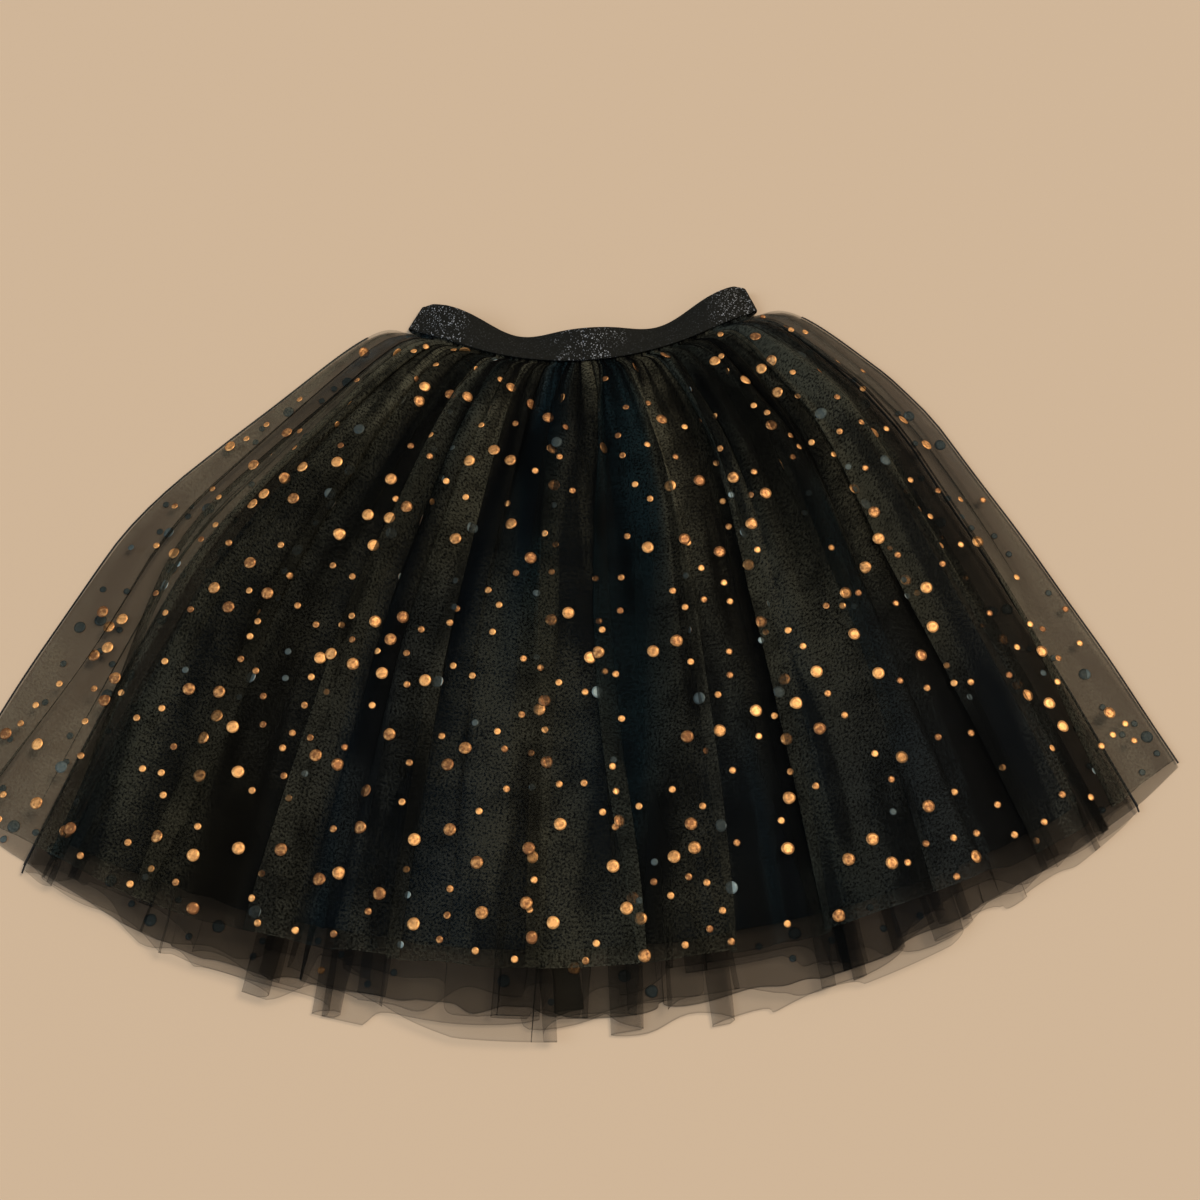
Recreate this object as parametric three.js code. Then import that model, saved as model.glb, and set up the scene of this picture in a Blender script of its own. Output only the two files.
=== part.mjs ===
// A pull-on tulle skirt lying on its back: a glitter elastic waistband, a dotted tulle overskirt, two plain
// tulle underskirts and an opaque lining, each a tube of a front and a back panel joined by side seams.
// Millimetres, +Z up. The skirt lies in the XY plane with its waist towards +Y and its front on top.
// The origin is on the floor under the middle of the waist seam.

import * as THREE from "three";

// ---- Driving dimensions ----

const WAIST_WIDTH = 260; // relaxed elastic, from side fold to side fold
const GATHER_RADIUS = 298; // the gathers radiate from a point this far above the waist seam
const GAP = 0.6; // clear height between one layer and the next
const CAVITY = 1.4; // extra height between the back and front linings, where the wearer's body goes

// The laid side edge, as an angle at the gather point. It swings out from the waistband to a shoulder and
// comes back in towards the hem. Radii are from the gather point, angles in degrees.
const LEFT = { shoulderRadius: 510, shoulderAngle: 37.6, hemRadius: 750, hemAngle: 33.9 };
const RIGHT = { shoulderRadius: 400, shoulderAngle: 37.1, hemRadius: 716, hemAngle: 33.7 };
const WAIST_LEAN = 8; // the right end of the waist lies this much further up than a level one
const WAIST_SAG = 11; // both ends lie this much further up than an arc about the gather point
const LEAN_FADE = 150; // the lean and the sag die away over these distances down the skirt
const SAG_FADE = 60;
const SHOULDER_EASE = 0.32; // below 1, the tulle puffs out as soon as it leaves the elastic
const SIDE_SKEW = 0.036; // share of its length by which the left side is longer, and the right side shorter
const HEM_LINE = 435; // below the overskirt's hem, the longer layers shorten towards the sides
const CORNER_RISE = 0.93; // share of that extra length lost at the side edges

const BAND = {
  height: 25,
  thickness: 1.6,
  seamInset: 1.5, // from the skirt's top edge to the elastic
  backLift: 0.3,
  frontLift: 2, // from the underside of the front overskirt's gathered edge up to the front elastic
  meanTilt: -6, // degrees the elastic stands up from the floor
  tiltSwing: 17,
  rippleLength: 112,
  rippleShift: 5,
};
const SEAM_ALLOWANCE = { height: 8.5, frontThickness: 2.4, backThickness: 1.9, gap: 0.4, reach: 0.87 };
const SIDE_SEAM = { width: 3, thickness: 0.8, gap: 0.35, start: 14 };
const LABEL = { halfWidth: 15, start: 10, end: 50, thickness: 0.4, lift: 0.5 };

const SKIRT_START = -2; // the gathered top edge, measured down from the origin
const CREST = 95; // the layers stand highest this far below the waist
const HEM_FALL = 28; // a layer above sinks to the next one over this length past a hem

// Rows are distances down from the waist seam and columns are shares of the side angle. Every layer uses the
// same lines, so that neighbouring surfaces run parallel.
const ROWS = [SKIRT_START, 10, 30, 50, 90, 150, 230, 310, 370, 421, 435, 449, 463, 477];
const COLUMNS = [-1, -0.92, -0.84, -0.79, -0.6, -0.4, -0.2, 0, 0.2, 0.4, 0.6, 0.8, 0.9, 0.95, 1];

// Layers from the floor up. left and right are the shares of the side angle that the layer fills; the three
// thicknesses are the room its gathers take at the waist, at the crest and at the hem.
const TULLE = { color: 0x0b0c0c, roughness: 0.85, metalness: 0 };
const LAYERS = [
  { name: "overskirt_back", length: 463, left: 1, right: 1, room: [1.2, 2.5, 1.5], finish: TULLE },
  { name: "underskirt_outer_back", length: 477, left: 0.84, right: 0.9, room: [1, 2, 1.2], finish: TULLE },
  { name: "underskirt_inner_back", length: 463, left: 0.84, right: 0.9, room: [1, 2, 1.2], finish: TULLE },
  { name: "lining_back", length: 421, left: 0.79, right: 0.8, room: [0.8, 1.2, 0.8], cavity: CAVITY },
  { name: "lining_front", length: 421, left: 0.79, right: 0.8, room: [1, 4, 2] },
  { name: "underskirt_inner_front", length: 463, left: 0.84, right: 0.9, room: [1.2, 4, 1.8], finish: TULLE },
  { name: "underskirt_outer_front", length: 477, left: 0.84, right: 0.9, room: [1.2, 4, 2.2], finish: TULLE },
  { name: "overskirt_front", length: 435, left: 1, right: 1, room: [4, 13, 5], finish: TULLE },
];
const LINING = { color: 0x0a0d12, roughness: 0.45, metalness: 0 };
const ELASTIC = { color: 0x121314, roughness: 0.6, metalness: 0.2 };
const THREAD = { color: 0x101010, roughness: 0.9, metalness: 0 };
const LABEL_SATIN = { color: 0xd9d6cf, roughness: 0.5, metalness: 0 };

const skirt = new THREE.Group();
const radians = THREE.MathUtils.degToRad;
const clamp = THREE.MathUtils.clamp;
const mix = THREE.MathUtils.lerp;

// ---- The laid shape ----

const WAIST_ANGLE = Math.asin(WAIST_WIDTH / 2 / GATHER_RADIUS);

// Angle of the side edge at a radius, in radians.
function sideAngle(radius, side) {
  const shoulder = radians(side.shoulderAngle);
  const out = clamp((radius - GATHER_RADIUS) / (side.shoulderRadius - GATHER_RADIUS), 0, 1);
  const back = (radius - side.shoulderRadius) / (side.hemRadius - side.shoulderRadius);
  if (back > 0) return mix(shoulder, radians(side.hemAngle), back);
  return mix(WAIST_ANGLE, shoulder, out ** SHOULDER_EASE);
}

// Floor position of a point a distance down from the waist seam, at a share of the side angle.
// overhang moves it sideways past the edge, in millimetres.
function laid(down, share, overhang = 0) {
  const extra = Math.max(down - HEM_LINE, 0);
  const radius = GATHER_RADIUS + (down - extra * CORNER_RISE * share ** 2) * (1 - SIDE_SKEW * share);
  const angle = share * sideAngle(radius, share < 0 ? LEFT : RIGHT) + overhang / radius;
  const lean = WAIST_LEAN * share * Math.exp(-Math.max(down, 0) / LEAN_FADE);
  const sag = WAIST_SAG * share ** 2 * Math.exp(-Math.max(down, 0) / SAG_FADE);
  return { x: radius * Math.sin(angle), y: GATHER_RADIUS - radius * Math.cos(angle) + lean + sag };
}

// ---- The stack of layers ----

// The room a layer's gathers take up, least at its side edges, where the front and back meet.
function roomAt(layer, down, share) {
  const [waist, crest, hem] = layer.room;
  const rise = Math.sin((clamp(down / CREST, 0, 1) * Math.PI) / 2);
  const fall = clamp((down - CREST) / (layer.length - CREST), 0, 1);
  const full = down < CREST ? mix(waist, crest, rise) : mix(crest, hem, Math.sin((fall * Math.PI) / 2));
  const edge = share < 0 ? layer.left : layer.right;
  const taper = Math.min(1, (1 - Math.abs(share / edge)) * 8);
  return mix(waist * 0.7, full, clamp(taper, 0, 1));
}

// 1 where a layer lies, falling to 0 past its side edges and its hem.
function reachOf(layer, down, share) {
  const edge = share < 0 ? layer.left : layer.right;
  const across = Math.abs(share) <= edge ? 1 : (1 - Math.abs(share)) / (1 - edge);
  const along = 1 - clamp((down - layer.length) / HEM_FALL, 0, 1);
  return clamp(across, 0, 1) * along;
}

// Height of the underside of the layer at index.
function undersideOf(index, down, share) {
  return LAYERS.slice(0, index).reduce((height, below) => {
    const own = roomAt(below, down, share) + GAP + (below.cavity ?? 0);
    return height + own * reachOf(below, down, share);
  }, 0);
}

const layerIndex = (name) => LAYERS.findIndex((layer) => layer.name === name);
const topOf = (index, down, share) => undersideOf(index, down, share) + roomAt(LAYERS[index], down, share);

// ---- Solids ----

// A closed slab over a grid of columns and rows. place returns { x, y, bottom, top } for each grid point;
// rows run away from the waist, so the box is filled from its far edge.
function slab(columns, rows, place) {
  const [across, along] = [columns.length - 1, rows.length - 1];
  const geometry = new THREE.BoxGeometry(across, along, 1, across, along, 1);
  const position = geometry.getAttribute("position");
  for (let i = 0; i < position.count; i += 1) {
    const column = Math.round(position.getX(i) + across / 2);
    const row = Math.round(along / 2 - position.getY(i));
    const spot = place(columns[column], rows[row]);
    position.setXYZ(i, spot.x, spot.y, position.getZ(i) > 0 ? spot.top : spot.bottom);
  }
  matchDiagonals(geometry);
  geometry.computeVertexNormals();
  return geometry;
}

// Splits the underside's squares along the same diagonal as the top's, so that stacked slabs stay parallel.
function matchDiagonals(geometry) {
  const { start, count } = geometry.groups[5];
  const corners = geometry.index.array;
  for (let i = start; i < start + count; i += 6) {
    const [a, b, d, , c] = corners.slice(i, i + 6);
    corners.set([a, b, c, a, c, d], i);
  }
}

function addPiece(name, geometry, finish) {
  const mesh = new THREE.Mesh(geometry, new THREE.MeshStandardMaterial(finish));
  mesh.name = name;
  skirt.add(mesh);
}

function addLayer(layer, index) {
  const columns = COLUMNS.filter((share) => share >= -layer.left && share <= layer.right);
  const rows = ROWS.filter((down) => down <= layer.length);
  const geometry = slab(columns, rows, (share, down) => {
    const bottom = undersideOf(index, down, share);
    return { ...laid(down, share), bottom, top: bottom + roomAt(layer, down, share) };
  });
  addPiece(layer.name, geometry, layer.finish ?? LINING);
}

// The overlocked strip that closes a tube down one side, lying against its back panel.
function addSideSeam(tube, side, sign) {
  const back = layerIndex(`${tube}_back`);
  const panel = LAYERS[back];
  const edge = sign * (sign < 0 ? panel.left : panel.right);
  const length = Math.min(panel.length, LAYERS[layerIndex(`${tube}_front`)].length);
  const rows = [SIDE_SEAM.start, ...ROWS.filter((down) => down > SIDE_SEAM.start && down <= length)];
  const geometry = slab([0, 1], rows, (step, down) => {
    const outward = SIDE_SEAM.gap + SIDE_SEAM.width * (sign > 0 ? step : 1 - step);
    const bottom = topOf(back, down, edge) + SIDE_SEAM.gap;
    return { ...laid(down, edge, sign * outward), bottom, top: bottom + SIDE_SEAM.thickness };
  });
  addPiece(`${tube}_side_seam_${side}`, geometry, THREAD);
}

// ---- Waistband ----

const BAND_COLUMNS = Array.from({ length: 27 }, (_, i) => i / 13 - 1);
const BAND_ROWS = [BAND.height, 18, SEAM_ALLOWANCE.height, SEAM_ALLOWANCE.height / 2, 0]; // up from the seam
const BAND_SEAM = SKIRT_START - BAND.seamInset;

const flat = () => 0;

// The front elastic ripples: it stands up more at its ends and middle, and dips between.
function rippleTilt(share) {
  const x = (share * WAIST_WIDTH) / 2;
  const phase = (2 * Math.PI * (x - BAND.rippleShift)) / BAND.rippleLength;
  return radians(BAND.meanTilt + BAND.tiltSwing * Math.cos(phase));
}

// The front elastic rides over the gathers and comes down to the back elastic at its two side folds.
function frontLift(share) {
  return undersideOf(layerIndex("overskirt_front"), SKIRT_START, share) + BAND.frontLift;
}

// A strip of the waistband, at a height and tilt given along it. reach is the share of the waist it spans.
function addStrip({ name, height, thickness, finish, lift, tilt = flat, reach = 1 }) {
  const columns = BAND_COLUMNS.filter((share) => Math.abs(share) <= reach);
  const rows = BAND_ROWS.filter((up) => up <= height);
  const geometry = slab(columns, rows, (share, up) => {
    const bottom = lift(share) + up * Math.sin(tilt(share));
    return { ...laid(BAND_SEAM - up * Math.cos(tilt(share)), share), bottom, top: bottom + thickness };
  });
  addPiece(name, geometry, finish);
}

function addWaistband() {
  const elastic = { height: BAND.height, thickness: BAND.thickness, finish: ELASTIC };
  const allowance = { height: SEAM_ALLOWANCE.height, finish: THREAD, reach: SEAM_ALLOWANCE.reach };
  const { gap, backThickness, frontThickness } = SEAM_ALLOWANCE;
  const backTop = BAND.backLift + BAND.thickness;
  const seamLift = (share) => frontLift(share) - gap - frontThickness;
  const backSeam = { ...allowance, thickness: backThickness, lift: () => backTop + gap };
  const frontSeam = { ...allowance, thickness: frontThickness, lift: seamLift, tilt: rippleTilt };
  addStrip({ ...elastic, name: "waistband_back", lift: () => BAND.backLift });
  addStrip({ ...backSeam, name: "waist_seam_back" });
  addStrip({ ...frontSeam, name: "waist_seam_front" });
  addStrip({ ...elastic, name: "waistband_front", lift: frontLift, tilt: rippleTilt });
}

// A blank care label sewn into the back waist seam, lying on the back lining.
function addCareLabel() {
  const lining = layerIndex("lining_back");
  const rows = ROWS.filter((down) => down >= LABEL.start && down <= LABEL.end);
  const geometry = slab([-LABEL.halfWidth, 0, LABEL.halfWidth], rows, (x, down) => {
    const bottom = topOf(lining, down, 0) + LABEL.lift;
    return { x, y: -down, bottom, top: bottom + LABEL.thickness };
  });
  addPiece("care_label", geometry, LABEL_SATIN);
}

LAYERS.forEach(addLayer);
for (const tube of ["overskirt", "underskirt_outer", "underskirt_inner", "lining"]) {
  addSideSeam(tube, "left", -1);
  addSideSeam(tube, "right", 1);
}
addWaistband();
addCareLabel();

export default skirt;
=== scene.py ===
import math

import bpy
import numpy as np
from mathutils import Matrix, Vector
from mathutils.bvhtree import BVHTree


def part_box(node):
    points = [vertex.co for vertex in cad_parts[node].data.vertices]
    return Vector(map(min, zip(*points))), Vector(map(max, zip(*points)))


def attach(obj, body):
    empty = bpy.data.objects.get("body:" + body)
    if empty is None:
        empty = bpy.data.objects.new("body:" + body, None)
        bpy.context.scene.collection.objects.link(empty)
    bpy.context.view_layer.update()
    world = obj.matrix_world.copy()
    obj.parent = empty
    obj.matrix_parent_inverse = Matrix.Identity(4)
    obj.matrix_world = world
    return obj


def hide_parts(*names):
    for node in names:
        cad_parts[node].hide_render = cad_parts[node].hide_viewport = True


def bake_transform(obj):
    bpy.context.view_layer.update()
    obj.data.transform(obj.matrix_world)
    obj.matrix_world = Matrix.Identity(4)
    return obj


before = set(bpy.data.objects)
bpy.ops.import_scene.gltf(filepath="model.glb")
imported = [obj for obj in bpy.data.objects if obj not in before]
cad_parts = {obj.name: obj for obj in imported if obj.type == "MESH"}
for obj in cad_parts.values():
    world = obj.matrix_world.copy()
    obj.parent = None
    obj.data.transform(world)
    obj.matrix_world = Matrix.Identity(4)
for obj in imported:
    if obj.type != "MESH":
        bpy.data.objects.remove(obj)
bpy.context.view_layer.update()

# A pull-on tulle skirt lying on its back: glitter elastic, a dotted tulle overskirt, two plain tulle
# underskirts and an opaque lining. Every panel of cloth is a grid over the laid fan shape, thrown into folds
# that fill the room its CAD solid holds. Lengths are millimetres until a mesh is made. "down" is the distance
# from the waist seam, and "share" is the sideways place, from -1 at the left side fold to 1 at the right.

MM = 0.001

# ---- The laid shape, as the CAD part has it ----

WAIST_HALF = 130.0
GATHER_RADIUS = 298.0
WAIST_ANGLE = math.asin(WAIST_HALF / GATHER_RADIUS)
LEFT_SIDE = {"shoulder_radius": 510, "shoulder_angle": 37.6, "hem_radius": 750, "hem_angle": 33.9}
RIGHT_SIDE = {"shoulder_radius": 400, "shoulder_angle": 37.1, "hem_radius": 716, "hem_angle": 33.7}
SHOULDER_EASE = 0.32
SHOULDER_ROUNDING = 34
SIDE_SKEW = 0.036
HEM_LINE = 435
CORNER_RISE = 0.93
WAIST_LEAN = 8
LEAN_FADE = 150
WAIST_SAG = 11
SAG_FADE = 60
ROWS = (-2, 10, 30, 50, 90, 150, 230, 310, 370, 421, 435, 449, 463, 477)  # where the CAD solids have corners

# ---- Cloth ----

TUCK = 3.5  # how far the gathered edges run up under the elastic
SKIRT_START = -2
BAND = {
    "height": 25,
    "thickness": 1.6,
    "seam": -3.5,
    "mean_tilt": -6,
    "tilt_swing": 17,
    "ripple": 112,
    "shift": 5,
}
CORNER = {"start": 0.95, "drop": 0.13, "fold_drop": 0.05}  # rounds off the ends of the elastic's free edge
BACK_BAND_LIFT = 0.3
SIDES = (-1, 1)
SIDE_NAMES = {-1: "left", 1: "right"}

# Each band of folds has a count across the panel, how far it swings the cloth sideways (above 1 it folds over
# on itself) and its strength at four places down the skirt.
FOLD_STATIONS = (0, 60, 180, 450)
OVERSKIRT_FOLDS = (
    {"count": 38, "swing": 1.15, "strength": (1.3, 0.8, 0.2, 0.0)},
    {"count": 19, "swing": 1.3, "strength": (0.6, 1.1, 0.7, 0.3)},
    {"count": 8, "swing": 0.8, "strength": (0.2, 0.5, 1.0, 1.0)},
)
UNDERSKIRT_FOLDS = (
    {"count": 26, "swing": 1.0, "strength": (1.0, 0.5, 0.1, 0.0)},
    {"count": 13, "swing": 1.2, "strength": (0.6, 1.0, 0.8, 0.5)},
    {"count": 6, "swing": 0.9, "strength": (0.2, 0.5, 1.0, 1.0)},
)
LINING_FOLDS = (
    {"count": 12, "swing": 0.5, "strength": (0.8, 0.6, 0.2, 0.1)},
    {"count": 6, "swing": 0.5, "strength": (0.3, 0.6, 1.0, 1.0)},
)
# Long pleats lie right over, at these places across a panel: from its left edge, or back from its right edge.
OVERSKIRT_PLEATS = (0.035, 0.085, 0.17, 0.26, 0.36, 0.45, 0.53, 0.61, 0.69, 0.78, 0.86, -0.1, -0.06)
BACK_PLEATS = (0.06, 0.11, 0.3, 0.5, 0.7, -0.08, -0.035)
UNDERSKIRT_PLEATS = (0.04, 0.12, 0.21, 0.3, 0.41, 0.52, 0.6, 0.7, 0.8, 0.9, -0.035)
OVERSKIRT = {"edge": (1.0, 1.0), "finish": "dotted_tulle", "folds": OVERSKIRT_FOLDS}
UNDERSKIRT = {
    "edge": (0.84, 0.9),
    "finish": "plain_tulle",
    "folds": UNDERSKIRT_FOLDS,
    "pleats": UNDERSKIRT_PLEATS,
    "throws": (0.6, 2.6),
}
LINING = {"edge": (0.79, 0.8), "finish": "lining", "folds": LINING_FOLDS, "pleats": (), "throws": (1, 1)}
OVER_BACK = {**OVERSKIRT, "pleats": BACK_PLEATS, "throws": (0.8, 1.25)}
OVER_FRONT = {**OVERSKIRT, "pleats": OVERSKIRT_PLEATS, "throws": (0.8, 1.3)}
PANELS = {
    "overskirt_back": {**OVER_BACK, "length": 463, "grid": (90, 300), "hem_wave": 8, "seed": 11},
    "underskirt_outer_back": {**UNDERSKIRT, "length": 477, "grid": (70, 220), "hem_wave": 16, "seed": 12},
    "underskirt_inner_back": {**UNDERSKIRT, "length": 463, "grid": (70, 220), "hem_wave": 22, "seed": 13},
    "lining_back": {**LINING, "length": 421, "grid": (60, 90), "hem_wave": 2, "seed": 14},
    "lining_front": {**LINING, "length": 421, "grid": (90, 160), "hem_wave": 2, "seed": 15},
    "underskirt_inner_front": {**UNDERSKIRT, "length": 463, "grid": (110, 340), "hem_wave": 26, "seed": 16},
    "underskirt_outer_front": {**UNDERSKIRT, "length": 477, "grid": (110, 340), "hem_wave": 20, "seed": 17},
    "overskirt_front": {**OVER_FRONT, "length": 435, "grid": (160, 560), "hem_wave": 4, "seed": 18},
}
BUNCH_FADE = 75  # the net is gathered close at the waist, and spreads out over this distance
EDGE_PLEAT_SIZE = 0.4  # the pleats beside the side folds are narrow
PLEAT = {"half_width": 8, "throw": 22, "rise": 0.3}
ROW_BIAS = 1.15  # above 1, a panel's rows lie closer together near the waist
CUT_EDGE = 1.2  # how far in from its hem a panel shows its cut edge
CLEARANCE = 0.25  # from the cloth to the underside and top of its CAD solid
FLOOR_CLEARANCE = 0.55  # leaves room for the dots on the floor side of the back overskirt

STITCH = {"pitch": 2.4, "loop": 0.4}
SIDE_SEAM = {"start": 14, "gap": 0.35, "width": 1.3, "thickness": 0.75}
SEAM_ALLOWANCE = {"height": 8.5, "reach": 0.86, "thickness": {"front": 2.4, "back": 1.9}}
RIB_PITCH = 1.1
RIB_DEPTH = 0.14

# ---- Foil dots ----

DOT_RADII = (4.1, 2.3)
BIG_SHARE = 0.36
DOT_SPACING = 12
DOTS_PER_SQUARE_METRE = 1400
DOT_MARGIN = 5.5  # from a dot's centre to the side fold
DOT_LIFT = 0.1
DOT_THICKNESS = 0.1
DOT_TILT = 0.04  # how unevenly the dots lie on the cloth, as a slope
FLIPPED_SHARE = 0.05  # dots on cloth folded under, which show their grey reverse through the net
DISC_SIDES = 16
DISC_POINTS = 1 + 2 * DISC_SIDES  # a centre, a middle ring and a rim


def side_angle(radius, side):
    """Angle of the side fold at a radius from the gather point, in radians, eased round the shoulder."""
    reach = np.minimum(SHOULDER_ROUNDING, np.maximum(radius - GATHER_RADIUS, 0) / 3)
    steps = np.linspace(-1, 1, 5)
    return sum(sharp_side_angle(radius + step * reach, side) for step in steps) / len(steps)


def sharp_side_angle(radius, side):
    """Angle of the side fold, with the CAD solids' corner at the shoulder."""
    shoulder = math.radians(side["shoulder_angle"])
    hem = math.radians(side["hem_angle"])
    out = np.clip((radius - GATHER_RADIUS) / (side["shoulder_radius"] - GATHER_RADIUS), 0, 1)
    swelling = WAIST_ANGLE + (shoulder - WAIST_ANGLE) * out**SHOULDER_EASE
    back = (radius - side["shoulder_radius"]) / (side["hem_radius"] - side["shoulder_radius"])
    return np.where(back > 0, shoulder + (hem - shoulder) * back, swelling)


def fan(down, share):
    """Radius and full side angle at a place on the laid skirt."""
    extra = np.maximum(down - HEM_LINE, 0)
    radius = GATHER_RADIUS + (down - extra * CORNER_RISE * share**2) * (1 - SIDE_SKEW * share)
    angle = np.where(share < 0, side_angle(radius, LEFT_SIDE), side_angle(radius, RIGHT_SIDE))
    return radius, angle


def laid(down, share, overhang=0):
    """Floor position, as the CAD part places it. overhang moves it sideways, in millimetres."""
    down, share = np.asarray(down, float), np.asarray(share, float)
    radius, side = fan(down, share)
    angle = share * side + overhang / radius
    lean = WAIST_LEAN * share * np.exp(-np.maximum(down, 0) / LEAN_FADE)
    sag = WAIST_SAG * share**2 * np.exp(-np.maximum(down, 0) / SAG_FADE)
    return radius * np.sin(angle), GATHER_RADIUS - radius * np.cos(angle) + lean + sag


# ---- Reading the CAD solids ----


def solid_tree(node):
    """The faces of a CAD node, ready to be probed by rays."""
    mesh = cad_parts[node].data
    return BVHTree.FromPolygons([v.co for v in mesh.vertices], [p.vertices for p in mesh.polygons])


class Room:
    """The heights between which a CAD node holds its cloth, over a grid of down and share."""

    STEPS = 72
    TOP_INSET = 0.4  # millimetres down from the gathered edge
    HEM_INSET = 0.5  # millimetres up from the hem
    SIDE_INSET = 0.997  # share of the way out to the side folds

    def __init__(self, node, start, length, edges):
        self.tree = solid_tree(node)
        self.downs = np.linspace(start + self.TOP_INSET, length - self.HEM_INSET, self.STEPS)
        self.shares = np.linspace(-edges[0] * self.SIDE_INSET, edges[1] * self.SIDE_INSET, self.STEPS)
        self.heights = np.array([[self.probe(d, s) for s in self.shares] for d in self.downs])

    def probe(self, down, share):
        """Underside and top of the solid at one place, pulled in a little where its edge is cut short."""
        for pull in (1.0, 0.99, 0.975, 0.95):
            x, y = laid(down * pull, share * pull)
            above = self.tree.ray_cast((x * MM, y * MM, 1), (0, 0, -1))[0]
            below = self.tree.ray_cast((x * MM, y * MM, -1), (0, 0, 1))[0]
            if above is not None and below is not None:
                return below.z / MM, above.z / MM
        raise ValueError(f"no solid at down {down:.1f}, share {share:.3f}")

    def at(self, down, share):
        """Underside and top heights, for arrays of places."""
        row = np.interp(down, self.downs, np.arange(self.STEPS))
        column = np.interp(share, self.shares, np.arange(self.STEPS))
        both = sample(self.heights, row, column)
        return both[..., 0], both[..., 1]


def sample(grid, row, column):
    """Bilinear look-up of a grid of vectors at fractional rows and columns."""
    rows, columns = grid.shape[:2]
    r = np.clip(np.floor(row).astype(int), 0, rows - 2)
    c = np.clip(np.floor(column).astype(int), 0, columns - 2)
    fr, fc = (row - r)[..., None], (column - c)[..., None]
    upper = grid[r, c] * (1 - fc) + grid[r, c + 1] * fc
    lower = grid[r + 1, c] * (1 - fc) + grid[r + 1, c + 1] * fc
    return upper * (1 - fr) + lower * fr


# ---- Folds ----


def wander(rng, low, high, waves=7):
    """A smooth random curve over 0 to 1, of about unit size, with low to high cycles across it."""
    cycles = rng.uniform(low, high, waves)
    phases = rng.uniform(0, 2 * math.pi, waves)
    scale = math.sqrt(waves / 2)
    return lambda t: sum(np.sin(2 * math.pi * c * t + p) for c, p in zip(cycles, phases)) / scale


def fold_band(rng, band, material, down, width):
    """Sideways shift in millimetres and raised height, weighted, of one band of folds."""
    count = band["count"]
    jitter, size, reach = (wander(rng, count / 6, count / 2.4) for _ in range(3))
    lean, drift = wander(rng, 1, 4), wander(rng, 1, 5)
    phase = 2 * math.pi * count * material + 1.3 * jitter(material)
    phase = phase + 0.8 * drift(material) * np.sin(down / 110)
    stretched = down / np.clip(1 + 0.35 * reach(material), 0.4, 1.8)
    strength = np.interp(stretched, FOLD_STATIONS, band["strength"])
    strength = strength * np.clip(0.75 + 0.35 * size(material), 0.2, 1.35)
    swing = band["swing"] * strength * width / count / (2 * math.pi)
    shift = swing * np.sin(phase + 1.2 * np.tanh(lean(material)))
    return shift, strength * (1 + np.cos(phase)) / 2, strength


def pleat_field(spec, rng, material, down, width):
    """Sideways shift in millimetres and added height of the long pleats, each lying over to one side."""
    shift, rise = 0 * down, 0 * down
    for place in spec["pleats"]:
        drift = rng.uniform(-0.012, 0.012) if 0.15 < abs(place) < 0.85 else 0
        middle = (place % 1) + drift * down / spec["length"]
        size = rng.uniform(*spec["throws"]) * (1 if 0.12 < abs(place) < 0.88 else EDGE_PLEAT_SIZE)
        across = (material - middle) * width / (PLEAT["half_width"] * size**0.5)
        lies = rng.choice(SIDES)
        fades = np.interp(down, (0, 40, 200, spec["length"]), (0.1, 0.6, 1, rng.uniform(0.55, 1)))
        shift = shift - PLEAT["throw"] * size * fades * across * np.exp(-(across**2))
        rise = rise + PLEAT["rise"] * lies * fades * np.tanh(across) * np.exp(-((across / 2.2) ** 2))
    return shift, rise


def fold_field(spec, rng, material, down, width):
    """Sideways shift in millimetres and height between 0 and 1 of all the panel's folds together."""
    bands = [fold_band(rng, band, material, down, width) for band in spec["folds"]]
    quiet = np.clip(np.minimum(material, 1 - material) / 0.05, 0, 1)
    pleat_shift, pleat_rise = pleat_field(spec, rng, material, down, width)
    shift = sum(b[0] for b in bands) * quiet + pleat_shift
    height = sum(b[1] for b in bands) / np.maximum(sum(b[2] for b in bands), 1e-6)
    return shift, np.clip(0.1 + 0.8 * height + pleat_rise, 0, 1)


# ---- Panels ----


def hem_line(spec, rng, material):
    """Length of the panel across its width, with the uneven cut of soft net."""
    slow, quick = wander(rng, 2, 6), wander(rng, 9, 22)
    wave = 0.6 * slow(material) + 0.4 * quick(material)
    return spec["length"] - spec["hem_wave"] * (0.5 + 0.5 * np.clip(wave, -1, 1))


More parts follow.
